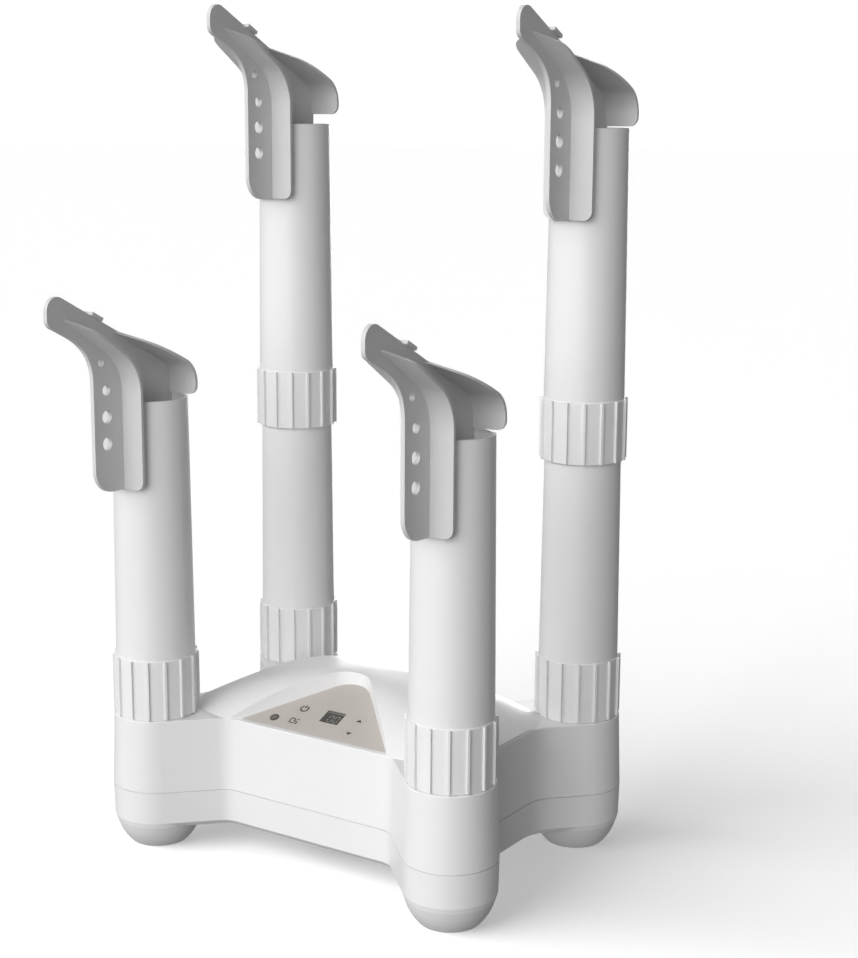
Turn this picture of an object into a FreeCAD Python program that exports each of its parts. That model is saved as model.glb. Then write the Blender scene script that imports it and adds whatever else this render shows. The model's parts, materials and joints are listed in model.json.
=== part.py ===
import FreeCAD, Part
import math
import os
import re
from FreeCAD import Placement, Rotation, Vector

# Boot dryer: a fan and heater base with four warm-air tubes, two of them made taller by an
# extension tube, and a boot support plugged into the top of each.
# Modelled with +Z up, the control panel and the toes of the supports towards -Y.  Every piece is
# drawn about the middle of the base and moved by origin_shift, which puts the origin under the
# middle of the whole object, on the floor.

DIMENSIONS = {
    # base plan: four round lobes joined by set-back walls
    "lobe_x": 114.75, "lobe_y": 76.3, "lobe_radius": 29.4,
    "wall_x": 111.4, "wall_y": 66.5, "side_blend": 24, "front_blend": 13,
    # base heights
    "base_bottom": 15.7, "seam_height": 40.75, "deck_height": 88.2,
    "upper_draft": 1.6, "edge_round": 0.6, "lower_draft": 0.5, "bottom_round": 3.5,
    "seam_groove": 0.5, "seam_depth": 0.9, "shell": 2.5,
    # dome over the middle of the base
    "dome_top": 117, "dome_rise": 28.8, "dome_x": 111, "dome_y": 68, "dome_power": 4.2,
    # sloping control panel
    "panel_y": -60.5, "panel_tilt": 21.8, "panel_half": 57, "panel_spread": 0.975,
    "panel_apex": 20, "panel_thick": 1.5, "panel_floor": 2.2, "panel_gap": 0.12,
    "key_radius": 4.7, "key_gap": 0.1, "key_flange": 5.6, "key_length": 5.0,
    "key_left": -20.5, "key_right": 22.8, "key_front": 8.8, "key_back": 21.6,
    "screen_x": 3.4, "screen_y": 19.4, "screen_wide": 14, "screen_deep": 11.4,
    "lens_x": -35.2, "lens_y": 7.8, "lens_radius": 3.0,
    "board_top": -8, "board_thick": 1.6,
    # tubes and the spigots they stand on
    "tube_length": 207.6, "rim_radius": 24, "neck_radius": 25.64, "collar_radius": 26.3,
    "collar_height": 39.8, "collar_bevel": 0.5, "rib_radius": 28.0, "rib_width": 1.5, "rib_count": 15,
    "plug_length": 38.5, "plug_foot_radius": 24.38, "fit_gap": 0.12, "rest_gap": 0.05,
    "bore_foot_radius": 21.9, "bore_rim_radius": 22.3, "spigot_bore": 21.8,
    # feet
    "foot_radius": 27.6, "foot_sole_radius": 18.6, "foot_edge": 0.8, "foot_bulge": 1.2,
    "foot_plug": 8,
    # boot support, measured from the tube's axis and rim
    "web_thick": 2.8, "sheet_thick": 2.0, "toe_reach": 89.2, "toe_low": 56.5,
    "toe_round_high": 8.5, "toe_round_low": 6, "toe_rise": 14, "fin_front": 52,
    "fin_bottom": 55.3, "fin_corner": 15, "insert_depth": 30, "insert_front": 21,
    "insert_rear": 19.5, "top_slope": 27.2, "wing_start": 30, "wing_start_height": 44.7,
    "wing_half": 23.2, "wing_corner_height": 34.4, "wing_bend": 17, "wing_bottom": 0.8,
    "sheet_back": 25, "sheet_half": 17, "sheet_slope": 33.3, "sheet_bend": 32,
    "sheet_tip": 75, "sheet_tip_height": 55.8, "sheet_corner_height": 48.3,
    "sheet_round": 7, "wing_round": 14, "low_round": 6, "tab_start": 54.5, "tab_reach": 4.5,
    "tab_length": 10, "tab_thick": 2.2, "tab_sink": 0.6, "raised_support": 5.6,
    # fan, heater and inlet
    "fan_side": 80, "fan_bottom": 22, "fan_height": 25, "fan_bore": 38, "fan_hole": 35.75,
    "hub_radius": 19, "blade_tip": 37.2, "blade_count": 7, "blade_pitch": 40,
    "shaft_radius": 1.5, "bearing_gap": 0.04,
    "heater_outer": 39.5, "heater_inner": 36.5, "heater_height": 13, "wire_radius": 0.9,
    "grille_radius": 36.9, "inlet_height": 29, "inlet_pin_x": 4.3, "inlet_pin_radius": 1.2,
    "boss_x": 86, "boss_y": 50, "boss_radius": 4.5, "boss_height": 44, "screw_radius": 1.5,
}

doc = FreeCAD.newDocument("boot_dryer")
sheet = doc.addObject("Spreadsheet::Sheet", "dims")
for row, (alias, number) in enumerate(DIMENSIONS.items(), 1):
    sheet.set(f"A{row}", alias)
    sheet.set(f"B{row}", str(number))
    sheet.setAlias(f"B{row}", alias)
LAST = len(DIMENSIONS)
DERIVED = {
    # the supports reach towards -Y further than the rear lobes reach towards +Y
    "origin_shift": "(toe_reach - lobe_radius) / 2",
    "tube_base": "deck_height + rest_gap",
    "low_rim": "tube_base + tube_length",
    "extension_base": "low_rim - plug_length + rest_gap",
    "high_rim": "extension_base + tube_length",
    "fan_top": "fan_bottom + fan_height",
    "floor_top": "base_bottom + shell",
}


def expression(text):
    """The text with each sheet alias in it written as the expression engine wants it."""
    names = set(DIMENSIONS) | set(DERIVED)
    return re.sub(r"[a-z_]+", lambda m: "dims." + m.group() if m.group() in names else m.group(), text)


for row, (alias, formula) in enumerate(DERIVED.items(), LAST + 1):
    sheet.set(f"A{row}", alias)
    sheet.set(f"B{row}", "=" + formula)
    sheet.setAlias(f"B{row}", alias)
doc.recompute()
D = {alias: float(sheet.get(alias)) for alias in list(DIMENSIONS) + list(DERIVED)}


# ---------------------------------------------------------------- small builders

def bind(item, field, value):
    """Set a property to a number, or bind it to the sheet when the value is text."""
    if isinstance(value, str):
        item.setExpression(field, expression(value))
    else:
        item.setExpression(field, repr(float(value)))


def place(item, base=(0, 0, 0), turn=None):
    if turn is not None:
        item.Placement = Placement(Vector(), turn)
    for axis, value in zip("xyz", base):
        bind(item, "Placement.Base." + axis, value)
    return item


def box(name, size, corner, turn=None):
    item = doc.addObject("Part::Box", name)
    for field, value in zip(("Length", "Width", "Height"), size):
        bind(item, field, value)
    return place(item, corner, turn)


def cylinder(name, radius, height, base, turn=None):
    item = doc.addObject("Part::Cylinder", name)
    bind(item, "Radius", radius)
    bind(item, "Height", height)
    return place(item, base, turn)


def cone(name, low, high, height, base):
    item = doc.addObject("Part::Cone", name)
    bind(item, "Radius1", low)
    bind(item, "Radius2", high)
    bind(item, "Height", height)
    return place(item, base)


def torus(name, ring, tube, base):
    item = doc.addObject("Part::Torus", name)
    bind(item, "Radius1", ring)
    bind(item, "Radius2", tube)
    return place(item, base)


def fuse(name, *shapes):
    item = doc.addObject("Part::MultiFuse", name)
    item.Shapes = list(shapes)
    return item


def common(name, *shapes):
    item = doc.addObject("Part::MultiCommon", name)
    item.Shapes = list(shapes)
    return item


def cut(name, base, *tools):
    item = doc.addObject("Part::Cut", name)
    item.Base = base
    item.Tool = tools[0] if len(tools) == 1 else group(name + "_tools", *tools)
    return item


def group(name, *shapes):
    item = doc.addObject("Part::Compound", name)
    item.Links = list(shapes)
    return item


def shape(name, built):
    item = doc.addObject("Part::Feature", name)
    item.Shape = built
    return item


def extrude(name, face, direction, length):
    item = doc.addObject("Part::Extrusion", name)
    item.Base = face
    item.DirMode = "Custom"
    item.Dir = direction
    item.Solid = True
    bind(item, "LengthFwd", length)
    return item


def revolve(name, face):
    """A full turn of a face about the Z axis."""
    item = doc.addObject("Part::Revolution", name)
    item.Source, item.Axis, item.Angle, item.Solid = face, Vector(0, 0, 1), 360, True
    return item


def loft(name, *wires, ruled=True):
    item = doc.addObject("Part::Loft", name)
    item.Sections = list(wires)
    item.Solid = True
    item.Ruled = ruled
    return item


def copy_at(name, master, base):
    """The master piece again, in a place of its own."""
    return place(group(name, master), base)


ABOUT_X = Vector(1, 0, 0)
ALONG_Y = Rotation(ABOUT_X, -90)
ALONG_X = Rotation(Vector(0, 1, 0), 90)
PANEL_TURN = Rotation(ABOUT_X, D["panel_tilt"])
CORNERS = {"front_left": (-1, -1), "front_right": (1, -1), "rear_left": (-1, 1), "rear_right": (1, 1)}
nodes = {}


def finish(name, item):
    """Name the sub-part and move it to the object's own origin."""
    placed = place(group("placed_" + name, item), (0, "origin_shift", 0))
    placed.Label = name
    nodes[name] = placed


# ---------------------------------------------------------------- base outline

def outline_wire(inset, height):
    """The base's plan, moved inwards by inset: lobes, 45 degree flanks and straight walls."""
    lobe = Vector(D["lobe_x"], D["lobe_y"], height)
    radius = D["lobe_radius"] - inset
    half = radius / math.sqrt(2)
    wall_x, wall_y = D["wall_x"] - inset, D["wall_y"] - inset
    side_touch = lobe + Vector(half, -half, 0)
    front_touch = lobe + Vector(-half, half, 0)
    side_corner = Vector(wall_x, side_touch.y - (side_touch.x - wall_x), height)
    front_corner = Vector(front_touch.x - (front_touch.y - wall_y), wall_y, height)
    flank = Vector(1, 1, 0).normalize()

    def blend(corner, wall_direction, radius_here):
        reach = radius_here * math.tan(math.radians(22.5))
        start = corner + wall_direction * reach
        end = corner + flank * reach
        centre_way = (wall_direction + flank).normalize()
        centre = corner + centre_way * (radius_here / math.cos(math.radians(22.5)))
        middle = centre - centre_way * radius_here
        return start, end, Part.Arc(start, middle, end).toShape()

    side_start, side_end, side_arc = blend(side_corner, Vector(0, -1, 0), D["side_blend"] + inset)
    front_start, front_end, front_arc = blend(front_corner, Vector(-1, 0, 0), D["front_blend"] + inset)
    lobe_arc = Part.Arc(side_touch, lobe + Vector(half, half, 0), front_touch).toShape()
    quarter = [
        Part.makeLine(Vector(wall_x, 0, height), side_start), side_arc,
        Part.makeLine(side_end, side_touch), lobe_arc,
        Part.makeLine(front_touch, front_end), front_arc,
        Part.makeLine(front_start, Vector(0, wall_y, height)),
    ]
    whole = []
    for mirror_x in (False, True):
        for mirror_y in (False, True):
            for edge in quarter:
                turned = edge.mirror(Vector(), Vector(1, 0, 0)) if mirror_x else edge
                turned = turned.mirror(Vector(), Vector(0, 1, 0)) if mirror_y else turned
                whole.append(turned)
    return Part.Wire(Part.__sortEdges__(whole))


def outline(name, inset, height):
    return shape(name, outline_wire(inset, height))


def dome_height(x, y):
    """Height of the dome: a squared-off bowl, upside down, whose foot lies in the deck."""
    power = D["dome_power"]
    spread = (abs(x) / D["dome_x"]) ** power + (abs(y) / D["dome_y"]) ** power
    return D["dome_top"] - D["dome_rise"] * spread ** (2 / power)


def dome(name, lower_by, inset):
    """The solid under the dome's surface, lowered by lower_by and kept inside the outline."""
    columns, rows, reach_x, reach_y = 33, 25, 150, 110
    grid = []
    for i in range(columns):
        x = reach_x * (2 * i / (columns - 1) - 1)
        line = []
        for j in range(rows):
            y = reach_y * (2 * j / (rows - 1) - 1)
            line.append(Vector(x, y, dome_height(x, y) - lower_by))
        grid.append(line)
    surface = Part.BSplineSurface()
    surface.interpolate(grid)
    under = shape(name + "_under", surface.toShape().extrude(Vector(0, 0, -60)))
    column = extrude(name + "_column", shape(name + "_outline", Part.Face(outline_wire(inset, 80))),
                     Vector(0, 0, 1), 50)
    return common(name, under, column)


# ---------------------------------------------------------------- control panel plan

def panel_face(grow, front, height):
    """The panel's plan: a triangle with a round rear corner, grown outwards by grow.

    front is how far the two front corners run on past the panel's front edge."""
    spread = D["panel_spread"]
    lean = math.atan(spread)
    slide = grow / math.cos(lean)
    front_y = D["panel_y"] - front
    half = D["panel_half"] + spread * front + slide
    apex_y = D["panel_y"] + (D["panel_half"] + slide) / spread
    radius = D["panel_apex"] + grow
    centre = Vector(0, apex_y - radius / math.sin(lean), height)
    touch = Vector(radius * math.cos(lean), centre.y + radius * math.sin(lean), height)
    left, right = Vector(-half, front_y, height), Vector(half, front_y, height)
    mirrored = Vector(-touch.x, touch.y, height)
    top = centre + Vector(0, radius, 0)
    edges = [Part.makeLine(left, right), Part.makeLine(right, touch),
             Part.Arc(touch, top, mirrored).toShape(), Part.makeLine(mirrored, left)]
    return Part.Face(Part.Wire(edges))


def on_panel(across, up, out):
    """A place given along the panel, up its slope and outwards from its face."""
    return (across, f"panel_y + ({up}) * cos(panel_tilt) - ({out}) * sin(panel_tilt)",
            f"deck_height + ({up}) * sin(panel_tilt) + ({out}) * cos(panel_tilt)")


def panel_cylinder(name, radius, across, up, bottom, top):
    return cylinder(name, radius, f"({top}) - ({bottom})", on_panel(across, up, bottom), PANEL_TURN)


def panel_box(name, wide, deep, across, up, bottom, top):
    """A block centred at across, up, between two levels below the panel's face."""
    corner = on_panel(f"({across}) - ({wide}) / 2", f"({up}) - ({deep}) / 2", bottom)
    return box(name, (wide, deep, f"({top}) - ({bottom})"), corner, PANEL_TURN)


KEYS = {"power": ("key_left", "key_back"), "timer": ("key_left", "key_front"),
        "up": ("key_right", "key_back"), "down": ("key_right", "key_front")}
BOARD_POSTS = {"left": (-28.8, 6.4), "right": (31.6, 6.4), "rear": (3.4, 33)}


# ---------------------------------------------------------------- upper housing

walls = loft("upper_walls", outline("upper_foot", 0, D["seam_height"]),
             outline("upper_shoulder", D["upper_draft"], D["deck_height"] - D["edge_round"]))
bevel = loft("upper_bevel",
             outline("bevel_low", D["upper_draft"], D["deck_height"] - D["edge_round"]),
             outline("bevel_high", D["upper_draft"] + D["edge_round"], D["deck_height"]))
rim_inset = D["upper_draft"] + D["edge_round"]
outer = fuse("upper_outer", walls, bevel, dome("dome_outer", 0, rim_inset))
inner_walls = loft("inner_walls", outline("inner_foot", D["shell"], D["seam_height"] - 1),
                   outline("inner_top", D["shell"] + D["upper_draft"], D["deck_height"] - D["shell"]))
cavity = fuse("cavity_all", inner_walls, dome("dome_inner", D["shell"], rim_inset + D["shell"]))

# the panel's recess: above its sloping floor, and above the deck in front of the panel
recess_block = extrude("recess_block", shape("recess_plan", panel_face(0, 0, 70)), Vector(0, 0, 1), 60)
above_floor = box("above_floor", (200, 120, 60), on_panel("0 - 100", "0 - 30", "0 - panel_thick"),
                  PANEL_TURN)
recess = common("recess", recess_block, above_floor)
lip_block = extrude("lip_block", shape("lip_plan", panel_face(0, 12, D["deck_height"])),
                    Vector(0, 0, 1), 50)
lip_clear = common("lip_clear", lip_block,
                   box("lip_zone", (200, 30, 60), (-100, "panel_y - 30", "deck_height")))
floor_block = extrude("floor_block", shape("floor_plan", panel_face(D["panel_floor"], 3, 60)),
                      Vector(0, 0, 1), 70)
above_under = box("above_under", (200, 120, 60),
                  on_panel("0 - 100", "0 - 30", "0 - panel_thick - panel_floor"), PANEL_TURN)
cavity = cut("cavity", cavity, common("floor_keep", floor_block, above_under))

spigots, spigot_bores, bosses, boss_holes = [], [], [], []
for corner, (side, end) in CORNERS.items():
    at = (f"{side} * lobe_x", f"{end} * lobe_y")
    spigots.append(cone("spigot_" + corner, "plug_foot_radius", "rim_radius", "plug_length",
                        at + ("deck_height",)))
    spigot_bores.append(cylinder("spigot_bore_" + corner, "spigot_bore", 60,
                                 at + ("deck_height - 10",)))
    boss_at = (f"{side} * boss_x", f"{end} * boss_y", "boss_height")
    bosses.append(cylinder("boss_" + corner, "boss_radius", 60, boss_at))
    boss_holes.append(cylinder("boss_hole_" + corner, "screw_radius + 0.02", 20, boss_at))

panel_holes = []
for key, (across, up) in KEYS.items():
    panel_holes.append(panel_cylinder("hole_" + key, "key_radius + key_gap", across, up, "-12", "5"))
panel_holes.append(panel_cylinder("hole_lens", "lens_radius + 0.05", "lens_x", "lens_y", "-12", "5"))
panel_holes.append(panel_box("hole_screen", "screen_wide + 0.2", "screen_deep + 0.2",
                             "screen_x", "screen_y", "-12", "5"))
posts, post_holes = [], []
for post, (across, up) in BOARD_POSTS.items():
    posts.append(panel_cylinder("post_" + post, 2.5, across, up, "board_top",
                                "0 - panel_thick - panel_floor + 0.5"))
    post_holes.append(panel_cylinder("post_hole_" + post, 1.02, across, up, "board_top", "-4"))

shell_cut = cut("upper_shell", fuse("upper_full", outer, *spigots), cavity, recess, lip_clear,
                *panel_holes)
upper = fuse("upper_filled", shell_cut, common("bosses_inside", group("bosses", *bosses), outer),
             *posts)
finish("upper_housing", cut("upper", upper, *spigot_bores, *boss_holes, *post_holes))

# ---------------------------------------------------------------- lower housing

groove_low = D["seam_height"] - D["seam_groove"]
low_edge = D["base_bottom"] + D["bottom_round"]
low_inset = D["lower_draft"] + D["bottom_round"]
tray = fuse(
    "tray_outer",
    loft("tray_bevel", outline("tray_bottom", low_inset, D["base_bottom"]),
         outline("tray_low", D["lower_draft"], low_edge)),
    loft("tray_walls", outline("tray_low_again", D["lower_draft"], low_edge),
         outline("tray_high", 0, groove_low)),
    extrude("tray_lip", shape("tray_lip_face", Part.Face(outline_wire(D["seam_depth"], groove_low))),
            Vector(0, 0, 1), "seam_groove"),
    *[cone("tray_lobe_" + corner, "foot_radius + 0.2", "lobe_radius - lower_draft",
           "bottom_round", (f"{side} * lobe_x", f"{end} * lobe_y", "base_bottom"))
      for corner, (side, end) in CORNERS.items()])
tray_inside = loft("tray_inside", outline("tray_inside_low", low_inset + 1, D["floor_top"]),
                   outline("tray_inside_high", D["shell"] + 0.2, D["seam_height"] + 1))
tray_posts, tray_holes = [], []
for corner, (side, end) in CORNERS.items():
    post_at = (f"{side} * boss_x", f"{end} * boss_y")
    tray_posts.append(cylinder("tray_post_" + corner, "boss_radius", "boss_height - floor_top + 1",
                               post_at + ("floor_top - 1",)))
    tray_holes.append(cylinder("tray_shaft_" + corner, "screw_radius + 0.1", 50, post_at + (0,)))
    tray_holes.append(cylinder("tray_head_" + corner, 3.6, 20.1, post_at + (0,)))
    fan_at = (f"{side} * fan_hole", f"{end} * fan_hole")
    tray_posts.append(cylinder("fan_post_" + corner, 4.5, "fan_bottom - floor_top + 1",
                               fan_at + ("floor_top - 1",)))
    tray_holes.append(cylinder("fan_post_hole_" + corner, 1.62, 10, fan_at + ("floor_top + 0.7",)))
    tray_holes.append(cylinder("foot_hole_" + corner, "foot_plug + 0.05", 20,
                               (f"{side} * lobe_x", f"{end} * lobe_y", 0)))
tray_holes.append(cylinder("grille_seat", "grille_radius + 0.1", 5, (0, 0, "base_bottom + 1.7 - 5")))
tray_holes.append(cylinder("intake_hole", "grille_radius - 2", 40, (0, 0, 0)))
tray_holes.append(box("inlet_hole", (22, 20, 14), (-11, "wall_y - 10", "inlet_height - 7")))
tray_hollow = cut("tray_hollow", tray, tray_inside)
tray_filled = fuse("tray_filled", tray_hollow, *tray_posts)
finish("lower_housing", cut("lower", tray_filled, *tray_holes))

# ---------------------------------------------------------------- feet

sole_edge = Vector(D["foot_sole_radius"] + D["foot_edge"], 0, D["foot_edge"])
foot_top = Vector(D["foot_radius"], 0, D["base_bottom"])
bulge_way = Vector(1, 0, -1).normalize() * D["foot_bulge"]
foot_side = Part.Arc(sole_edge, (sole_edge + foot_top) / 2 + bulge_way, foot_top)
foot_corners = [foot_top, Vector(0, 0, D["base_bottom"]), Vector(0, 0, 0),
                Vector(D["foot_sole_radius"], 0, 0), sole_edge]
foot_edges = [Part.makeLine(a, b) for a, b in zip(foot_corners, foot_corners[1:])]
foot_profile = Part.Face(Part.Wire([foot_side.toShape()] + foot_edges))
foot_body = revolve("foot_body", shape("foot_profile", foot_profile))
foot_stub = cylinder("foot_stub", "foot_plug", "base_bottom + 4.5", (0, 0, 0))
foot_master = fuse("foot_master", foot_body, foot_stub)
for corner, (side, end) in CORNERS.items():
    foot = copy_at("foot_at_" + corner, foot_master, (f"{side} * lobe_x", 0, 0))
    foot.Label = "foot_" + corner
    foot.setExpression("Placement.Base.y", expression(f"{end} * lobe_y + origin_shift"))
    nodes[foot.Label] = foot

# ---------------------------------------------------------------- tubes

tube_outer = fuse(
    "tube_outer",
    cylinder("collar", "collar_radius", "collar_height - 2 * collar_bevel", (0, 0, "collar_bevel")),
    cone("collar_foot", "collar_radius - collar_bevel", "collar_radius", "collar_bevel", (0, 0, 0)),
    cone("collar_top", "collar_radius", "collar_radius - collar_bevel", "collar_bevel",
         (0, 0, "collar_height - collar_bevel")),
    cone("tube_cone", "neck_radius", "rim_radius", "tube_length - collar_height + 1",
         (0, 0, "collar_height - 1")))
ribs = []
for step in range(int(D["rib_count"])):
    angle = 180 + step * 360 / D["rib_count"]
    turn = Rotation(Vector(0, 0, 1), angle)
    start = turn.multVec(Vector(0, -D["rib_width"] / 2, 0))
    ribs.append(box(f"rib_{step}", ("rib_radius", "rib_width", "collar_height - 1.1"),
                    (start.x, start.y, 0.8), turn))
tube_bore = fuse(
    "tube_bore",
    cone("socket", "plug_foot_radius + fit_gap", "rim_radius + fit_gap", "plug_length",
         (0, 0, 0)),
    cylinder("socket_end", "rim_radius + fit_gap", 0.4, (0, 0, "plug_length - 0.1")),
    cone("air_bore", "bore_foot_radius", "bore_rim_radius", "tube_length - plug_length + 1",
         (0, 0, "plug_length")))
tube_master = cut("tube_master", fuse("tube_ribbed", tube_outer, *ribs), tube_bore)
for corner, (side, end) in CORNERS.items():
    spots = {"tube_" + corner: "tube_base"}
    if end > 0:
        spots["extension_tube_" + corner.split("_")[1]] = "extension_base"
    for name, level in spots.items():
        tube = copy_at(name + "_at", tube_master, (f"{side} * lobe_x", 0, level))
        tube.Label = name
        tube.setExpression("Placement.Base.y", expression(f"{end} * lobe_y + origin_shift"))
        nodes[name] = tube

# ---------------------------------------------------------------- boot supports

def side_point(y, z):
    return Vector(0, y, z)


def rounded_outline(corners):
    """A closed wire through the corners, given as pairs of a point and its rounding radius."""
    joins = []
    for i, (here, radius) in enumerate(corners):
        back = (corners[i - 1][0] - here).normalize()
        on = (corners[(i + 1) % len(corners)][0] - here).normalize()
        half = back.getAngle(on) / 2
        middle = here + (back + on).normalize() * (radius / math.sin(half) - radius)
        reach = radius / math.tan(half)
        joins.append((here + back * reach, middle, here + on * reach))
    edges = []
    for (_, radius), join, following in zip(corners, joins, joins[1:] + joins[:1]):
        if radius:
            edges.append(Part.Arc(*join).toShape())
        edges.append(Part.makeLine(join[2], following[0]))
    return Part.Wire(edges)


def bent_sheet(name, half, back, slope, bend, corner_height, bottom, reach):
    """A bent sheet across X: straight up, an arc forwards, then straight on."""
    turn = math.radians(90 - slope)
    thick = D["sheet_thick"] / 2
    centre = Vector(-half, back - bend, corner_height - bend * math.tan(turn / 2))
    along = Vector(0, -math.cos(math.radians(slope)), math.sin(math.radians(slope)))
    sides = []
    for radius in (bend + thick, bend - thick):
        arc = [centre + Vector(0, radius * math.cos(a), radius * math.sin(a))
               for a in (0, turn / 2, turn)]
        sides.append((Vector(-half, arc[0].y, bottom), arc, arc[2] + along * reach))
    (low_a, arc_a, end_a), (low_b, arc_b, end_b) = sides
    edges = [Part.makeLine(low_a, arc_a[0]), Part.Arc(*arc_a).toShape(),
             Part.makeLine(arc_a[2], end_a), Part.makeLine(end_a, end_b),
             Part.makeLine(end_b, arc_b[2]), Part.Arc(*reversed(arc_b)).toShape(),
             Part.makeLine(arc_b[0], low_b), Part.makeLine(low_b, low_a)]
    return extrude(name, shape(name + "_profile", Part.Face(Part.Wire(edges))), ABOUT_X, 2 * half)


def sheet_trim(name, half, top, corner, bottom, high):
    """A prism along Y with a sheet's front outline: a peak, shoulders and round lower corners."""
    low = D["low_round"]
    depth_from = Vector(0, -150, 0)
    corners = [(Vector(0, 0, top), 0), (Vector(half, 0, corner), high), (Vector(half, 0, bottom), low),
               (Vector(-half, 0, bottom), low), (Vector(-half, 0, corner), high)]
    wire = rounded_outline([(point + depth_from, radius) for point, radius in corners])
    return extrude(name, shape(name + "_face", Part.Face(wire)), Vector(0, 1, 0), 250)


def top_edge(y):
    """Height of the web's straight top edge above the tube's rim."""
    return D["wing_start_height"] - math.tan(math.radians(D["top_slope"])) * (D["wing_start"] + y)


def web_profile():
    """Side outline of the support's central web, from the tube's rim and axis."""
    bottom, front = -D["fin_bottom"], -D["fin_front"]
    fin_foot = [side_point(-D["sheet_back"], bottom), side_point(front + D["fin_corner"], bottom)]
    fin_centre = side_point(front + D["fin_corner"], bottom + D["fin_corner"])
    fin_middle = fin_centre + Vector(0, -1, -1).normalize() * D["fin_corner"]
    fin_side = side_point(front, bottom + D["fin_corner"])
    rise = side_point(front, D["toe_rise"])

    # the bend of the top edge over the tube's rear
    slope = math.radians(D["top_slope"])
    bend, turn = D["wing_bend"], math.pi / 2 - slope
    bend_centre = side_point(D["insert_rear"] - bend,
                             top_edge(D["insert_rear"]) - bend * math.tan(turn / 2))
    bend_arc = [bend_centre + Vector(0, bend * math.cos(a), bend * math.sin(a))
                for a in (turn, turn / 2, 0)]

    # the toe's two round corners, with an upright edge between them
    high, low = D["toe_round_high"], D["toe_round_low"]
    high_y = high - D["toe_reach"]
    high_centre = side_point(high_y, top_edge(high_y) - high / math.cos(slope))
    low_centre = side_point(low - D["toe_reach"], D["toe_low"])
    forwards = Vector(0, -1, 0)
    top_normal = Vector(0, math.sin(slope), math.cos(slope))
    toe_top = high_centre + top_normal * high
    low_start = low_centre - top_normal * low
    high_arc = [high_centre + forwards * high, high_centre + (forwards + top_normal).normalize() * high,
                toe_top]
    low_arc = [low_start, low_centre + (forwards - top_normal).normalize() * low,
               low_centre + forwards * low]
    under_way = Vector(0, -math.cos(slope), math.sin(slope))
    curve = Part.BSplineCurve()
    curve.interpolate([rise, low_start], Tangents=[Vector(0, 0, 40), under_way * 60],
                      TangentFlags=[True, True])
    inside = [side_point(D["insert_rear"], -D["insert_depth"]),
              side_point(-D["insert_front"], -D["insert_depth"]),
              side_point(-D["insert_front"], D["rest_gap"]),
              side_point(-D["sheet_back"], D["rest_gap"]), fin_foot[0]]
    edges = [Part.makeLine(*fin_foot), Part.Arc(fin_foot[1], fin_middle, fin_side).toShape(),
             Part.makeLine(fin_side, rise), curve.toShape(), Part.Arc(*low_arc).toShape(),
             Part.makeLine(low_arc[2], high_arc[0]), Part.Arc(*high_arc).toShape(),
             Part.makeLine(toe_top, bend_arc[0]), Part.Arc(*bend_arc).toShape(),
             Part.makeLine(bend_arc[2], inside[0])]
    edges += [Part.makeLine(a, b) for a, b in zip(inside, inside[1:])]
    return Part.Wire(edges)


web_wire = web_profile()
web_wire.translate(Vector(-D["web_thick"] / 2, 0, 0))
web = extrude("web", shape("web_face", Part.Face(web_wire)), ABOUT_X, "web_thick")
WEB_HOLES = {(-45, 26.4): 2.45, (-40.9, 8.9): 3.35, (-40.9, -7.7): 4.1, (-40.9, -24.6): 4.1}
web_holes = [cylinder(f"web_hole_{i}", radius, 20, (-10, y, z), ALONG_X)
             for i, ((y, z), radius) in enumerate(WEB_HOLES.items())]

sheet_middle = D["sheet_back"] + D["sheet_thick"] / 2
sheet_corner = D["sheet_tip_height"] - math.tan(math.radians(D["sheet_slope"])) * (
    D["sheet_tip"] - sheet_middle)
front_sheet = bent_sheet("front_sheet", D["sheet_half"] + 1, -sheet_middle, D["sheet_slope"],
                         D["sheet_bend"], sheet_corner, -D["fin_bottom"] - 1, 60)
front_trim = sheet_trim("front_trim", D["sheet_half"], D["sheet_tip_height"],
                        D["sheet_corner_height"], -D["fin_bottom"], D["sheet_round"])
wing_middle = D["insert_rear"] - D["sheet_thick"] / 2
wing = bent_sheet("wing", D["wing_half"] + 1, wing_middle, D["top_slope"], D["wing_bend"],
                  top_edge(wing_middle) - D["sheet_thick"] / 2, 0.1, 70)
wing_trim = sheet_trim("wing_trim", D["wing_half"], D["wing_start_height"],
                       D["wing_corner_height"], D["wing_bottom"], D["wing_round"])
tab_box = box("tab_box", ("2 * tab_reach", "tab_length", "tab_thick"),
              ("0 - tab_reach", "0 - tab_start", top_edge(-D["tab_start"]) - D["tab_sink"]),
              Rotation(ABOUT_X, -D["top_slope"]))
support_master = cut(
    "support_master",
    fuse("support_solid", web, common("front_sheet_cut", front_sheet, front_trim),
         common("wing_cut", wing, wing_trim), tab_box),
    *web_holes)
# the support of the tall left tube is shown drawn a little way out of the tube
SUPPORT_LEVELS = {"front_left": "low_rim", "front_right": "low_rim",
                  "rear_left": "high_rim + raised_support", "rear_right": "high_rim"}
for corner, (side, end) in CORNERS.items():
    name = "boot_support_" + corner
    support = copy_at(name + "_at", support_master, (f"{side} * lobe_x", 0, SUPPORT_LEVELS[corner]))
    support.Label = name
    support.setExpression("Placement.Base.y", expression(f"{end} * lobe_y + origin_shift"))
    nodes[name] = support

# ---------------------------------------------------------------- control panel and its pieces

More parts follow.
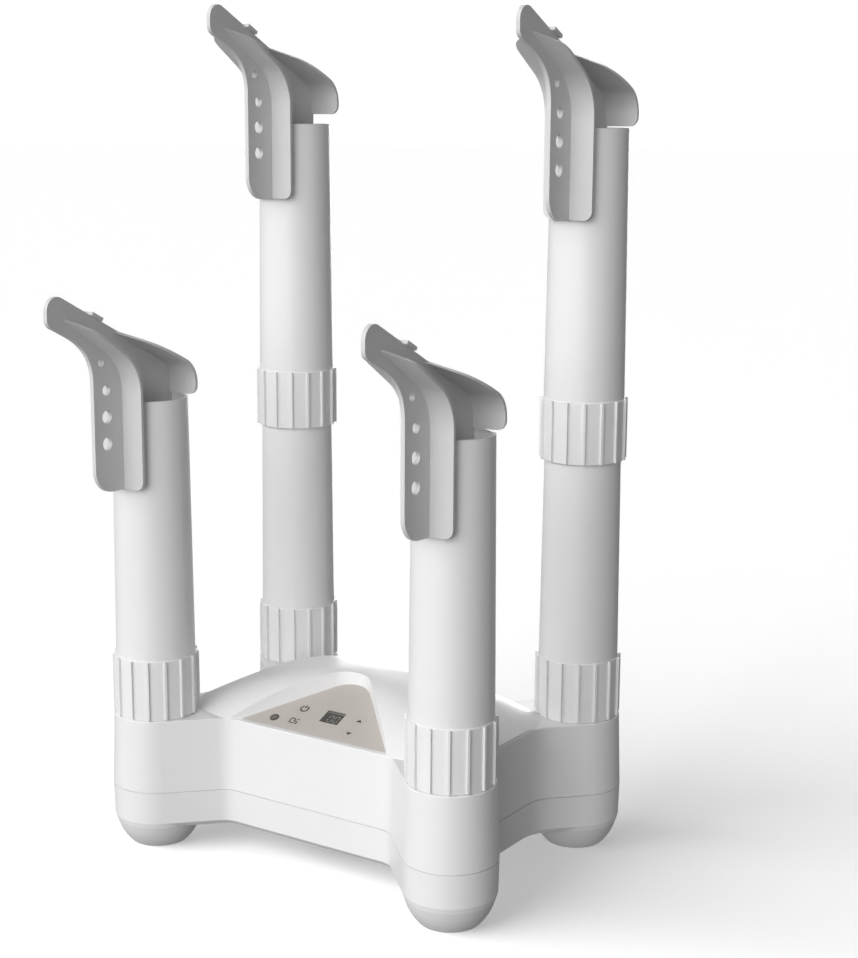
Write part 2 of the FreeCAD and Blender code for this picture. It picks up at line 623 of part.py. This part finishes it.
plate_plan = extrude("plate_plan", shape("plate_face", panel_face(-D["panel_gap"], 0, 70)),
                     Vector(0, 0, 1), 60)
plate_slab = box("plate_slab", (200, 120, "panel_thick"),
                 on_panel("0 - 100", "0 - 30", "0 - panel_thick"), PANEL_TURN)
finish("control_panel", cut("panel_drilled", common("plate", plate_plan, plate_slab),
                            group("panel_openings", *panel_holes)))
finish("display_window", panel_box("window_plate", "screen_wide", "screen_deep", "screen_x",
                                   "screen_y", "-1.3", "0"))
finish("status_lens", panel_cylinder("lens_body", "lens_radius", "lens_x", "lens_y", "-3.7", "0.3"))
for key, (across, up) in KEYS.items():
    cap = panel_cylinder("cap_" + key, "key_radius", across, up, "0 - key_length", "0")
    skirt = panel_cylinder("skirt_" + key, "key_flange", across, up, "0 - key_length",
                           "0 - panel_thick - panel_floor - 0.05")
    finish("key_" + key, fuse("key_body_" + key, cap, skirt))

board = panel_box("board", 74, 34, "-2", 19.5, "board_top - board_thick", "board_top")
board_parts = [
    panel_box("relay", 16, 12, "-24", 24, "board_top - board_thick - 9", "board_top - board_thick"),
    panel_box("chip", 10, 8, "4", 14, "board_top - board_thick - 2", "board_top - board_thick"),
    panel_cylinder("capacitor", 4, "24", 26, "board_top - board_thick - 10",
                   "board_top - board_thick"),
    panel_cylinder("led_body", 2.2, "lens_x", "lens_y", "board_top", "board_top + 3.5")]
board_drill = [panel_cylinder("board_hole_" + post, 1.3, across, up, "-12", "0")
               for post, (across, up) in BOARD_POSTS.items()]
finish("control_board", cut("board_drilled", fuse("board_full", board, *board_parts), *board_drill))
finish("display_module", panel_box("module", "screen_wide - 1.4", "screen_deep - 1.4", "screen_x",
                                   "screen_y", "board_top", "-1.5"))
finish("key_switches", group("switches", *[
    panel_box("switch_" + key, 6, 6, across, up, "board_top", "0 - key_length - 0.7")
    for key, (across, up) in KEYS.items()]))
board_screws = []
for post, (across, up) in BOARD_POSTS.items():
    under = "board_top - board_thick"
    board_screws.append(fuse(
        "board_screw_" + post,
        panel_cylinder("board_shank_" + post, 1, across, up, under + " - 1", "-4.6"),
        panel_cylinder("board_head_" + post, 2, across, up, under + " - 1.6", under)))
finish("board_screws", group("board_screw_set", *board_screws))

# ---------------------------------------------------------------- fan

fan_centre = (0, 0, "fan_bottom")
fan_block = box("fan_block", ("fan_side", "fan_side", "fan_height"),
                ("0 - fan_side / 2", "0 - fan_side / 2", "fan_bottom"))
fan_holes = [cylinder("fan_hole_" + corner, 2.2, "fan_height + 2",
                      (f"{side} * fan_hole", f"{end} * fan_hole", "fan_bottom - 1"))
             for corner, (side, end) in CORNERS.items()]
fan_ring = cut("fan_ring", fan_block, cylinder("fan_throat", "fan_bore", "fan_height + 2",
                                               (0, 0, "fan_bottom - 1")), *fan_holes)
struts = [box("strut_along", ("2 * fan_bore + 1", 5, 3), ("0 - fan_bore - 0.5", -2.5, "fan_bottom")),
          box("strut_across", (5, "2 * fan_bore + 1", 3), (-2.5, "0 - fan_bore - 0.5", "fan_bottom"))]
hub_seat = cylinder("hub_seat", 17, 3, fan_centre)
shaft_well = cylinder("shaft_well", "shaft_radius + bearing_gap", 10, (0, 0, "fan_bottom + 0.6"))
finish("fan_housing", cut("fan_body", fuse("fan_frame", fan_ring, hub_seat, *struts), shaft_well))
finish("fan_motor", cut("motor", cylinder("stator", 12, 12, (0, 0, "fan_bottom + 3")),
                        cylinder("bearing", "shaft_radius + bearing_gap", 30, (0, 0, "fan_bottom"))))
cup = cut("cup", cylinder("cup_outer", "hub_radius", 16, (0, 0, "fan_bottom + 5")),
          cylinder("cup_inner", "hub_radius - 1.6", 14, (0, 0, "fan_bottom + 5")))
shaft = cylinder("shaft", "shaft_radius", 19, (0, 0, "fan_bottom + 0.8"))
blades = []
for step in range(int(D["blade_count"])):
    spin = Rotation(Vector(0, 0, 1), step * 360 / D["blade_count"])
    pitched = spin.multiply(Rotation(ABOUT_X, D["blade_pitch"]))
    corner = pitched.multVec(Vector(D["hub_radius"] - 1, -8.5, -0.8)) + Vector(0, 0, 14)
    blades.append(box(f"blade_{step}", ("blade_tip - hub_radius + 4", 17, 1.6),
                      (corner.x, corner.y, f"fan_bottom + {corner.z}"), pitched))
blade_set = common("blade_set", group("blades", *blades), cylinder(
    "blade_limit", "blade_tip", "fan_height - 5", (0, 0, "fan_bottom + 4")))
finish("fan_impeller", fuse("impeller", cup, shaft, blade_set))
fan_screws = []
for corner, (side, end) in CORNERS.items():
    at = (f"{side} * fan_hole", f"{end} * fan_hole")
    fan_screws.append(fuse(
        "fan_screw_" + corner,
        cylinder("fan_shank_" + corner, 1.6, "fan_top - floor_top - 1", at + ("floor_top + 1.2",)),
        cylinder("fan_head_" + corner, 3.2, 2, at + ("fan_top",))))
finish("fan_screws", group("fan_screw_set", *fan_screws))

# ---------------------------------------------------------------- heater

heater_ring = cut("heater_ring",
                  cylinder("heater_can", "heater_outer", "heater_height", (0, 0, "fan_top")),
                  cylinder("heater_throat", "heater_inner", 40, (0, 0, "fan_top - 10")))
cross = [box("mica_x", ("2 * heater_inner + 1", 1.5, 3),
             ("0 - heater_inner - 0.5", -0.75, "fan_top + 2")),
         box("mica_y", (1.5, "2 * heater_inner + 1", 3),
             (-0.75, "0 - heater_inner - 0.5", "fan_top + 2"))]
lugs = [box("lug_right", (14.5, 14, 2), ("heater_outer - 1.5", -7, "fan_top")),
        box("lug_left", (14.5, 14, 2), ("0 - heater_outer + 1.5 - 14.5", -7, "fan_top"))]
finish("heater_frame", fuse("heater_body", heater_ring, *cross, *lugs))
wire_level = "fan_top + 5.05 + wire_radius"
coils = [torus(f"coil_{ring}", ring, "wire_radius", (0, 0, wire_level)) for ring in (12, 20, 28)]
link_turn = Rotation(Vector(0, 0, 1), 45).multiply(ALONG_X)
links = [cylinder("coil_link", "wire_radius", 16, (8.485, 8.485, wire_level), link_turn)]
finish("heater_element", fuse("element", *coils, *links))
finish("thermostat", cylinder("thermostat_can", 5.2, 6, ("heater_outer + 6.6", 0, "fan_top + 2")))
finish("thermal_fuse", cylinder("fuse_body", 2, 12, ("0 - heater_outer - 6", -6, "fan_top + 4"), ALONG_Y))

# ---------------------------------------------------------------- intake grille

grille_disc = cylinder("grille_disc", "grille_radius", 1.6, (0, 0, "base_bottom"))
grille_slots = []
for ring in range(5):
    inner_radius = 5.5 + 6 * ring
    band = cut(f"slot_{ring}",
               cylinder(f"slot_out_{ring}", inner_radius + 3.6, 6, (0, 0, "base_bottom - 2")),
               cylinder(f"slot_in_{ring}", inner_radius, 8, (0, 0, "base_bottom - 3")))
    grille_slots.append(band)
spokes = [box("spoke_x", (70, 2.6, 1.6), (-35, -1.3, "base_bottom")),
          box("spoke_y", (2.6, 70, 1.6), (-1.3, -35, "base_bottom"))]
finish("intake_grille", fuse("grille", cut("grille_slotted", grille_disc, *grille_slots), *spokes))

# ---------------------------------------------------------------- power inlet

flange_face = "wall_y + 0.05"
inlet_block = fuse(
    "inlet_block",
    box("inlet_flange", (27, 1.8, 18), (-13.5, flange_face, "inlet_height - 9")),
    box("inlet_body", (21.6, 14, 13.6), (-10.8, "wall_y + 0.05 - 13", "inlet_height - 6.8")))
inlet_well = fuse(
    "inlet_well",
    cylinder("well_left", 3.7, 20, ("0 - inlet_pin_x", "wall_y - 9", "inlet_height"), ALONG_Y),
    cylinder("well_right", 3.7, 20, ("inlet_pin_x", "wall_y - 9", "inlet_height"), ALONG_Y),
    box("well_middle", (8.6, 20, 5), (-4.3, "wall_y - 9", "inlet_height - 2.5")))
pin_holes = [cylinder("pin_hole_" + side, "inlet_pin_radius + 0.01", 20,
                      (f"{sign} * inlet_pin_x", "wall_y - 18", "inlet_height"), ALONG_Y)
             for side, sign in (("left", -1), ("right", 1))]
finish("power_inlet", cut("inlet", inlet_block, inlet_well, *pin_holes))
finish("inlet_pins", group("pins", *[
    cylinder("pin_" + side, "inlet_pin_radius", 17,
             (f"{sign} * inlet_pin_x", "wall_y - 17", "inlet_height"), ALONG_Y)
    for side, sign in (("left", -1), ("right", 1))]))

# ---------------------------------------------------------------- housing screws and leads

housing_screws = []
for corner, (side, end) in CORNERS.items():
    at = (f"{side} * boss_x", f"{end} * boss_y")
    housing_screws.append(fuse(
        "housing_screw_" + corner,
        cylinder("shank_" + corner, "screw_radius", "boss_height - 20.1 + 16", at + (20.1,)),
        cylinder("head_" + corner, 3.3, 2.2, at + (17.9,))))
finish("housing_screws", group("housing_screw_set", *housing_screws))


def lead(points, radius, bend):
    """A round lead along straight runs whose corners are rounded to the bend radius."""
    points = [Vector(*p) for p in points]
    edges, last = [], points[0]
    for before, here, after in zip(points, points[1:], points[2:]):
        back, on = (before - here).normalize(), (after - here).normalize()
        half = back.getAngle(on) / 2
        reach = bend / math.tan(half)
        start, end = here + back * reach, here + on * reach
        middle_way = (back + on).normalize()
        middle = here + middle_way * (bend / math.sin(half) - bend)
        edges += [Part.makeLine(last, start), Part.Arc(start, middle, end).toShape()]
        last = end
    edges.append(Part.makeLine(last, points[-1]))
    path = Part.Wire(edges)
    ring = Part.Wire(Part.makeCircle(radius, points[0], points[1] - points[0]))
    return path.makePipeShell([ring], True, False)


pin_x, pin_end, pin_z = D["inlet_pin_x"], D["wall_y"] - 17, D["inlet_height"]
over_heater = D["fan_top"] + D["heater_height"] + 9
board_back_y = D["panel_y"] + 41 * math.cos(math.radians(D["panel_tilt"]))
mains = []
for sign in (-1, 1):
    mains.append(lead([(sign * pin_x, pin_end, pin_z), (sign * pin_x, pin_end - 4.6, pin_z),
                       (sign * pin_x, pin_end - 4.6, over_heater),
                       (sign * pin_x, board_back_y, over_heater),
                       (sign * pin_x, board_back_y, D["deck_height"])], 1.1, 3))
finish("mains_leads", shape("mains", Part.makeCompound(mains)))
heater_leads = []
for sign in (-1, 1):
    foot_x = sign * (D["heater_outer"] + 6.6 + (4.2 if sign > 0 else -4.2))
    heater_leads.append(lead([(foot_x, 9, D["fan_top"] + 2.4 + 1.1),
                              (foot_x, 14, D["fan_top"] + 3.5), (foot_x, 14, over_heater - 6),
                              (foot_x, -20, over_heater + 4), (foot_x, -20, 84)], 1.1, 3))
finish("heater_leads", shape("heater_wires", Part.makeCompound(heater_leads)))

# ---------------------------------------------------------------- check and write

doc.recompute()
bad = [item.Name for item in doc.Objects if "Invalid" in item.State or "Error" in item.State]
if bad:
    raise SystemExit("features that failed: " + ", ".join(bad))
os.makedirs("parts", exist_ok=True)
for name, item in nodes.items():
    built = item.Shape
    if built.isNull() or not built.isValid() or not built.Solids:
        raise SystemExit(f"{name}: no valid solid")
    built.exportStep(os.path.join("parts", name + ".step"))
    size = built.optimalBoundingBox(False, False)
    print(f"{name:28s} solids {len(built.Solids):2d}  volume {built.Volume / 1000:9.2f} cm3"
          f"  z {size.ZMin:7.2f} to {size.ZMax:7.2f}")
whole = Part.makeCompound([item.Shape for item in nodes.values()]).optimalBoundingBox(False, False)
limits = (whole.XMin, whole.XMax, whole.YMin, whole.YMax, whole.ZMin, whole.ZMax)
print("box", [round(v, 2) for v in limits])
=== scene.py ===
import json
import math

import bmesh
import bpy
from mathutils import Matrix, Vector


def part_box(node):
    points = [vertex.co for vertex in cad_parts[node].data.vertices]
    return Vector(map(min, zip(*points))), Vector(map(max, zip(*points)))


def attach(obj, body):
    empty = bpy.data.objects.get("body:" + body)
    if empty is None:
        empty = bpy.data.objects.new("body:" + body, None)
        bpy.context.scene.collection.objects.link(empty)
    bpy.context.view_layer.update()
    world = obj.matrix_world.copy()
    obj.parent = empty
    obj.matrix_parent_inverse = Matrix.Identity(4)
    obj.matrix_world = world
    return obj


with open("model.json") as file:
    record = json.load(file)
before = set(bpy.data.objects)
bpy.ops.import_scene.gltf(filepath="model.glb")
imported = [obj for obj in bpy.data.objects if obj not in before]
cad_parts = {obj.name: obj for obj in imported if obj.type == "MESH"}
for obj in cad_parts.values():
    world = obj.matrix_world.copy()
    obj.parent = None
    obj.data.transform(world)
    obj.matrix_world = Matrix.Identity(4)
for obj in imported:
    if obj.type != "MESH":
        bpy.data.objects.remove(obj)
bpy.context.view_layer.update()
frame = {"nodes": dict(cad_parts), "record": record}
NODES = frame["nodes"]
RECORD = frame["record"]
MM = 0.001


# ---------------------------------------------------------------- materials

NOISE_ROUGHNESS = 0.55
CLOUD_SCALE, CLOUD_DETAIL = 45.0, 4.0
GLOSS_SPREAD = 0.05
METAL_SPREAD, METAL_TINT, METAL_GRAIN = 0.08, 0.08, 0.00002


class Nodes:
    """A short way to build one material's node tree."""

    def __init__(self, name):
        self.material = bpy.data.materials.new(name)
        self.material.use_nodes = True
        self.tree = self.material.node_tree
        self.shader = self.tree.nodes["Principled BSDF"]
        self.place = self.add("ShaderNodeTexCoord").outputs["Object"]

    def add(self, kind, **values):
        node = self.tree.nodes.new(kind)
        for key, value in values.items():
            if key in node.inputs:
                node.inputs[key].default_value = value
            else:
                setattr(node, key, value)
        return node

    def link(self, output, target):
        self.tree.links.new(output, target)

    def set(self, **values):
        for key, value in values.items():
            self.shader.inputs[key.replace("_", " ")].default_value = value

    def noise(self, scale, detail=3.0):
        node = self.add("ShaderNodeTexNoise", Scale=scale, Detail=detail, Roughness=NOISE_ROUGHNESS)
        self.link(self.place, node.inputs["Vector"])
        return node.outputs["Fac"]

    def ramp(self, source, low, high):
        """Map a 0 to 1 value to the range low to high."""
        node = self.add("ShaderNodeMapRange")
        node.inputs["To Min"].default_value = low
        node.inputs["To Max"].default_value = high
        self.link(source, node.inputs["Value"])
        return node.outputs["Result"]

    def tint(self, source, colour, spread):
        """The base colour, a little darker and lighter with the source."""
        mix = self.add("ShaderNodeMix", data_type="RGBA")
        dark = [max(c * (1 - spread), 0) for c in colour]
        light = [min(c * (1 + spread), 1) for c in colour]
        mix.inputs["A"].default_value = (*dark, 1)
        mix.inputs["B"].default_value = (*light, 1)
        self.link(source, mix.inputs["Factor"])
        self.link(mix.outputs["Result"], self.shader.inputs["Base Color"])

    def bump(self, source, distance):
        node = self.add("ShaderNodeBump", Strength=1.0, Distance=distance)
        self.link(source, node.inputs["Height"])
        self.link(node.outputs["Normal"], self.shader.inputs["Normal"])


def moulded(name, colour, roughness, grain_scale, grain_depth, mottling=0.02, coat=0.0):
    """Moulded plastic: a fine spark grain, faint colour mottling and uneven gloss."""
    nodes = Nodes(name)
    grain = nodes.noise(grain_scale, 2.0)
    cloud = nodes.noise(CLOUD_SCALE, CLOUD_DETAIL)
    nodes.tint(cloud, colour, mottling)
    gloss = nodes.ramp(cloud, roughness - GLOSS_SPREAD, roughness + GLOSS_SPREAD)
    nodes.link(gloss, nodes.shader.inputs["Roughness"])
    nodes.set(Coat_Weight=coat, Coat_Roughness=0.25, IOR=1.46)
    nodes.bump(grain, grain_depth)
    return nodes.material


def metal(name, colour, roughness):
    nodes = Nodes(name)
    grain = nodes.noise(900.0)
    nodes.tint(grain, colour, METAL_TINT)
    nodes.set(Metallic=1.0)
    gloss = nodes.ramp(grain, roughness - METAL_SPREAD, roughness + METAL_SPREAD)
    nodes.link(gloss, nodes.shader.inputs["Roughness"])
    nodes.bump(grain, METAL_GRAIN)
    return nodes.material


MATERIALS = {
    "white_plastic": moulded("white_plastic", (0.83, 0.83, 0.835), 0.42, 2600.0, 0.000012, 0.012, 0.12),
    "support_plastic": moulded("support_plastic", (0.70, 0.70, 0.705), 0.5, 2200.0, 0.00003, 0.03),
    "foot_rubber": moulded("foot_rubber", (0.72, 0.72, 0.725), 0.62, 1800.0, 0.00004, 0.04),
    "panel_film": moulded("panel_film", (0.50, 0.465, 0.43), 0.48, 3400.0, 0.00001, 0.015),
    "key_film": moulded("key_film", (0.50, 0.465, 0.43), 0.48, 3400.0, 0.00001, 0.015),
    "display_plastic": moulded("display_plastic", (0.11, 0.105, 0.097), 0.35, 2000.0, 0.00001),
    "lens_plastic": moulded("lens_plastic", (0.15, 0.14, 0.13), 0.22, 1500.0, 0.00001, 0.05, 0.5),
    "circuit_board": moulded("circuit_board", (0.03, 0.16, 0.07), 0.4, 900.0, 0.00003, 0.2),
    "switch_plastic": moulded("switch_plastic", (0.03, 0.03, 0.03), 0.45, 1500.0, 0.00002),
    "fan_plastic": moulded("fan_plastic", (0.025, 0.025, 0.026), 0.5, 1500.0, 0.00003),
    "heater_mica": moulded("heater_mica", (0.55, 0.48, 0.36), 0.6, 500.0, 0.00006, 0.15),
    "fuse_ceramic": moulded("fuse_ceramic", (0.75, 0.72, 0.66), 0.55, 900.0, 0.00003),
    "inlet_plastic": moulded("inlet_plastic", (0.022, 0.022, 0.023), 0.45, 1900.0, 0.00003),
    "lead_rubber": moulded("lead_rubber", (0.03, 0.03, 0.03), 0.6, 1400.0, 0.00003),
    "screw_steel": metal("screw_steel", (0.62, 0.62, 0.63), 0.35),
    "motor_steel": metal("motor_steel", (0.42, 0.42, 0.43), 0.45),
    "heater_wire": metal("heater_wire", (0.45, 0.42, 0.4), 0.45),
    "thermostat_metal": metal("thermostat_metal", (0.72, 0.72, 0.73), 0.3),
    "pin_brass": metal("pin_brass", (0.75, 0.66, 0.42), 0.3),
}


def smoked_glass():
    nodes = Nodes("display_glass")
    cloud = nodes.noise(300.0)
    nodes.tint(cloud, (0.13, 0.125, 0.115), 0.1)
    nodes.set(Roughness=0.12, Coat_Weight=0.3)
    nodes.shader.inputs["Alpha"].default_value = 0.3
    return nodes.material


MATERIALS["display_glass"] = smoked_glass()
INK = moulded("panel_ink", (0.055, 0.05, 0.045), 0.55, 3000.0, 0.000008, 0.1)
SEGMENT = moulded("display_segment", (0.62, 0.64, 0.56), 0.5, 2500.0, 0.000008, 0.05)

slot_of = {part["node"]: part["material_slot"] for part in RECORD["subparts"]}
for name, node in NODES.items():
    node.data.materials.clear()
    node.data.materials.append(MATERIALS[slot_of[name]])

# ---------------------------------------------------------------- printed marks and display

ACROSS = Vector((1, 0, 0))
press = next(j for j in RECORD["behaviour"]["joints"] if j["name"] == "key_power_press")
OUT = -Vector(press["axis"]).normalized()
UP = OUT.cross(ACROSS)
object_only = bpy.data.collections.new("object_only")
for node in NODES.values():
    object_only.objects.link(node)


def face_centre(name):
    """The middle of a panel node's outer face."""
    points = [v.co for v in NODES[name].data.vertices]
    level = max(p.dot(OUT) for p in points)
    top = [p for p in points if p.dot(OUT) > level - 0.02 * MM]
    spans = [[p.dot(way) for p in top] for way in (ACROSS, UP)]
    across, up = ((min(s) + max(s)) / 2 for s in spans)
    return ACROSS * across + UP * up + OUT * level


def ribbon(build, path, width, low, high, closed=False):
    """A flat stroke of even width along a path, with mitred corners and a little thickness."""
    path = [Vector(p) for p in path]
    count = len(path)
    sides = []
    for i, point in enumerate(path):
        before = path[i - 1] if closed or i else None
        after = path[(i + 1) % count] if closed or i < count - 1 else None
        ways = [(b - a).normalized() for a, b in ((before, point), (point, after)) if a and b]
        normals = [Vector((-way.y, way.x)) for way in ways]
        middle = sum(normals, Vector((0, 0))).normalized()
        reach = width / 2 / max(middle.dot(normals[0]), 0.4)
        sides.append([point + middle * reach, point - middle * reach])
    rings = [[build.verts.new((*side, level)) for side, level in
              ((left, low), (right, low), (right, high), (left, high))] for left, right in sides]
    for i in range(count if closed else count - 1):
        ring, on = rings[i], rings[(i + 1) % count]
        for k in range(4):
            build.faces.new((ring[k], ring[(k + 1) % 4], on[(k + 1) % 4], on[k]))
    if not closed:
        build.faces.new(rings[0])
        build.faces.new(reversed(rings[-1]))


def plate(build, outline, low, high):
    """A flat filled mark with a little thickness."""
    rings = [[build.verts.new((x, y, level)) for x, y in outline] for level in (low, high)]
    build.faces.new(reversed(rings[0]))
    build.faces.new(rings[1])
    for i in range(len(outline)):
        j = (i + 1) % len(outline)
        build.faces.new((rings[0][i], rings[0][j], rings[1][j], rings[1][i]))


def on_panel(name, build, centre, material, body):
    """Finish a mark drawn in millimetres, and set it on the panel's slope."""
    bmesh.ops.recalc_face_normals(build, faces=build.faces)
    for v in build.verts:
        v.co = centre + (ACROSS * v.co.x + UP * v.co.y + OUT * v.co.z) * MM
    mesh = bpy.data.meshes.new(name)
    build.to_mesh(mesh)
    build.free()
    mesh.materials.append(material)
    item = bpy.data.objects.new(name, mesh)
    bpy.context.scene.collection.objects.link(item)
    object_only.objects.link(item)
    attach(item, body)
    return item


def arc(radius, start, end, steps):
    """Points round a circle, in degrees anticlockwise from across."""
    turn = (end - start) / steps
    return [(radius * math.cos(math.radians(start + turn * i)),
             radius * math.sin(math.radians(start + turn * i))) for i in range(steps + 1)]


INK_DEPTH = 0.06
STROKE = 0.85
FINE_STROKE = STROKE * 0.7
MARK_SCALE = 1.3
POWER_RING = {"radius": 2.0, "start": 125, "end": 415, "steps": 28}
POWER_BAR = [(0, 0.5), (0, 2.4)]
ARROW = [(-1.7, -0.9), (1.7, -0.9), (0, 1.1)]
BOOT = [(-2.0, 1.7), (-1.8, -1.5), (2.4, -1.5), (2.1, -0.3), (0.3, 0.1), (0.1, 1.7)]
HEAT = [(1.3, 0.9), (1.9, 1.3), (2.4, 2.1)]


def add_marks():
    for key in ("power", "timer", "up", "down"):
        build = bmesh.new()
        if key == "power":
            ribbon(build, arc(**POWER_RING), STROKE, 0, INK_DEPTH)
            ribbon(build, POWER_BAR, STROKE, 0, INK_DEPTH)
        elif key == "timer":
            ribbon(build, BOOT, FINE_STROKE, 0, INK_DEPTH, closed=True)
            ribbon(build, HEAT, FINE_STROKE, 0, INK_DEPTH)
        else:
            way = 1 if key == "up" else -1
            plate(build, [(x * way, y * way) for x, y in ARROW], 0, INK_DEPTH)
        for v in build.verts:
            v.co.xy *= MARK_SCALE
        on_panel("mark_" + key, build, face_centre("key_" + key), INK, "key_" + key)


DIGIT_WIDE, DIGIT_HIGH, DIGIT_STEP, DIGIT_LEAN = 2.9, 6.0, 4.6, 0.1
SEGMENT_WIDTH, SEGMENT_DEPTH, SEGMENT_GAP = 0.75, 0.08, 0.4
# the six lit segments of a zero, as steps across and up
SEGMENTS = [((0, 2), (1, 2)), ((1, 2), (1, 1)), ((1, 1), (1, 0)), ((0, 0), (1, 0)),
            ((0, 1), (0, 0)), ((0, 2), (0, 1))]


def add_digits():
    """Two lit digits of a timer, lying on the display module under the window."""
    build = bmesh.new()
    half = DIGIT_HIGH / 2
    for side in (-0.5, 0.5):
        left = side * DIGIT_STEP - DIGIT_WIDE / 2
        for steps in SEGMENTS:
            ends = [Vector((left + DIGIT_WIDE * x + DIGIT_LEAN * (y - 1) * half, (y - 1) * half))
                    for x, y in steps]
            gap = (ends[1] - ends[0]).normalized() * SEGMENT_GAP
            ribbon(build, [ends[0] + gap, ends[1] - gap], SEGMENT_WIDTH, 0, SEGMENT_DEPTH)
    on_panel("display_digits", build, face_centre("display_module"), SEGMENT, "base")


LENS_RIM_RADIUS, LENS_RIM_WIDTH, LENS_RIM_DEPTH = 2.55, 0.8, 0.14


def add_lens_rim():
    build = bmesh.new()
    ribbon(build, arc(LENS_RIM_RADIUS, 0, 350, 35), LENS_RIM_WIDTH, 0, LENS_RIM_DEPTH, closed=True)
    on_panel("status_lens_rim", build, face_centre("status_lens"), INK, "base")


add_marks()
add_digits()
add_lens_rim()

# ---------------------------------------------------------------- stage, light and camera

SENSOR = 36.0
FOCAL = 68.97
CAMERA_SPOT = Vector((0.6671, -0.9403, 0.4779))
HEADING, PITCH, ROLL = math.radians(33.38), math.radians(-11.51), math.radians(-0.38)
SURROUND = 20.0
LAMP_DISTANCE = 3.0
SIDE_FADE = 0.3
FLOOR_GLOW = 0.3
AMBIENT = 0.24
# azimuth, elevation and softness in degrees, then strength
OBJECT_LAMPS = {"left_light": (-42, 30, 45, 0.97), "front_light": (6, 22, 50, 2.1),
                "rear_light": (205, 6, 30, 1.3)}
FLOOR_LAMP = (-32, 28, 70, 4.5)
stage_only = bpy.data.collections.new("stage_only")
base_low, base_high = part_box("lower_housing")
BASE_MIDDLE = Vector((0, (base_low.y + base_high.y) / 2, 0))


def add_camera():
    lens = bpy.data.cameras.new("camera")
    lens.sensor_width = SENSOR
    lens.lens = FOCAL
    lens.clip_end = 2 * SURROUND
    camera = bpy.data.objects.new("camera", lens)
    bpy.context.scene.collection.objects.link(camera)
    look = (Matrix.Rotation(HEADING, 4, "Z") @ Matrix.Rotation(PITCH + math.pi / 2, 4, "X")
            @ Matrix.Rotation(-ROLL, 4, "Z"))
    camera.matrix_world = Matrix.Translation(CAMERA_SPOT + BASE_MIDDLE) @ look
    bpy.context.scene.camera = camera


def add_sun(name, azimuth, elevation, softness, strength, receivers):
    """A distant soft light. Azimuth 0 shines from the front and 90 from the right side."""
    light = bpy.data.lights.new(name, "SUN")
    light.angle = math.radians(softness)
    light.energy = strength
    item = bpy.data.objects.new(name, light)
    around, above = math.radians(azimuth), math.radians(elevation)
    level = math.cos(above)
    back = Vector((math.sin(around) * level, -math.cos(around) * level, math.sin(above)))
    item.rotation_euler = back.to_track_quat("Z", "Y").to_euler()
    item.location = back * LAMP_DISTANCE
    bpy.context.scene.collection.objects.link(item)
    item.light_linking.receiver_collection = receivers


def stage_mesh(name, build, material):
    mesh = bpy.data.meshes.new(name)
    build.to_mesh(mesh)
    build.free()
    item = bpy.data.objects.new(name, mesh)
    mesh.materials.append(material)
    bpy.context.scene.collection.objects.link(item)
    item.visible_diffuse = False
    item.visible_glossy = False
    item.visible_transmission = False
    item.visible_shadow = False
    stage_only.objects.link(item)
    return item


def add_stage():
    """A pale floor and a white surround, which are seen but throw no light on the object."""
    nodes = Nodes("floor_paint")
    nodes.tint(nodes.noise(3.0), (0.8, 0.8, 0.8), 0.01)
    nodes.set(Roughness=0.7, Emission_Color=(1, 1, 1, 1), Emission_Strength=FLOOR_GLOW)
    build = bmesh.new()
    bmesh.ops.create_circle(build, cap_ends=True, segments=96, radius=SURROUND)
    stage_mesh("floor", build, nodes.material)
    nodes = Nodes("surround_paint")
    nodes.tint(nodes.noise(3.0), (0.0, 0.0, 0.0), 0.01)
    nodes.set(Emission_Color=(1, 1, 1, 1), Emission_Strength=1.0)
    build = bmesh.new()
    bmesh.ops.create_uvsphere(build, u_segments=48, v_segments=24, radius=SURROUND)
    stage_mesh("surround", build, nodes.material)


def add_world(strength):
    """Even light from all round, a little weaker from the right."""
    world = bpy.data.worlds.new("world")
    world.use_nodes = True
    back = world.node_tree.nodes["Background"]
    place = world.node_tree.nodes.new("ShaderNodeTexCoord")
    split = world.node_tree.nodes.new("ShaderNodeSeparateXYZ")
    shade = world.node_tree.nodes.new("ShaderNodeMapRange")
    for key, value in {"From Min": -1, "From Max": 1, "To Min": strength * (1 + SIDE_FADE),
                       "To Max": strength * (1 - SIDE_FADE)}.items():
        shade.inputs[key].default_value = value
    for output, target in ((place.outputs["Generated"], split.inputs["Vector"]),
                           (split.outputs["X"], shade.inputs["Value"]),
                           (shade.outputs["Result"], back.inputs["Strength"])):
        world.node_tree.links.new(output, target)
    back.inputs["Color"].default_value = (1, 1, 1, 1)
    bpy.context.scene.world = world


bpy.context.scene.view_settings.view_transform = "Standard"
add_camera()
add_stage()
add_world(AMBIENT)
for name, values in OBJECT_LAMPS.items():
    add_sun(name, *values, object_only)
add_sun("floor_light", *FLOOR_LAMP, stage_only)
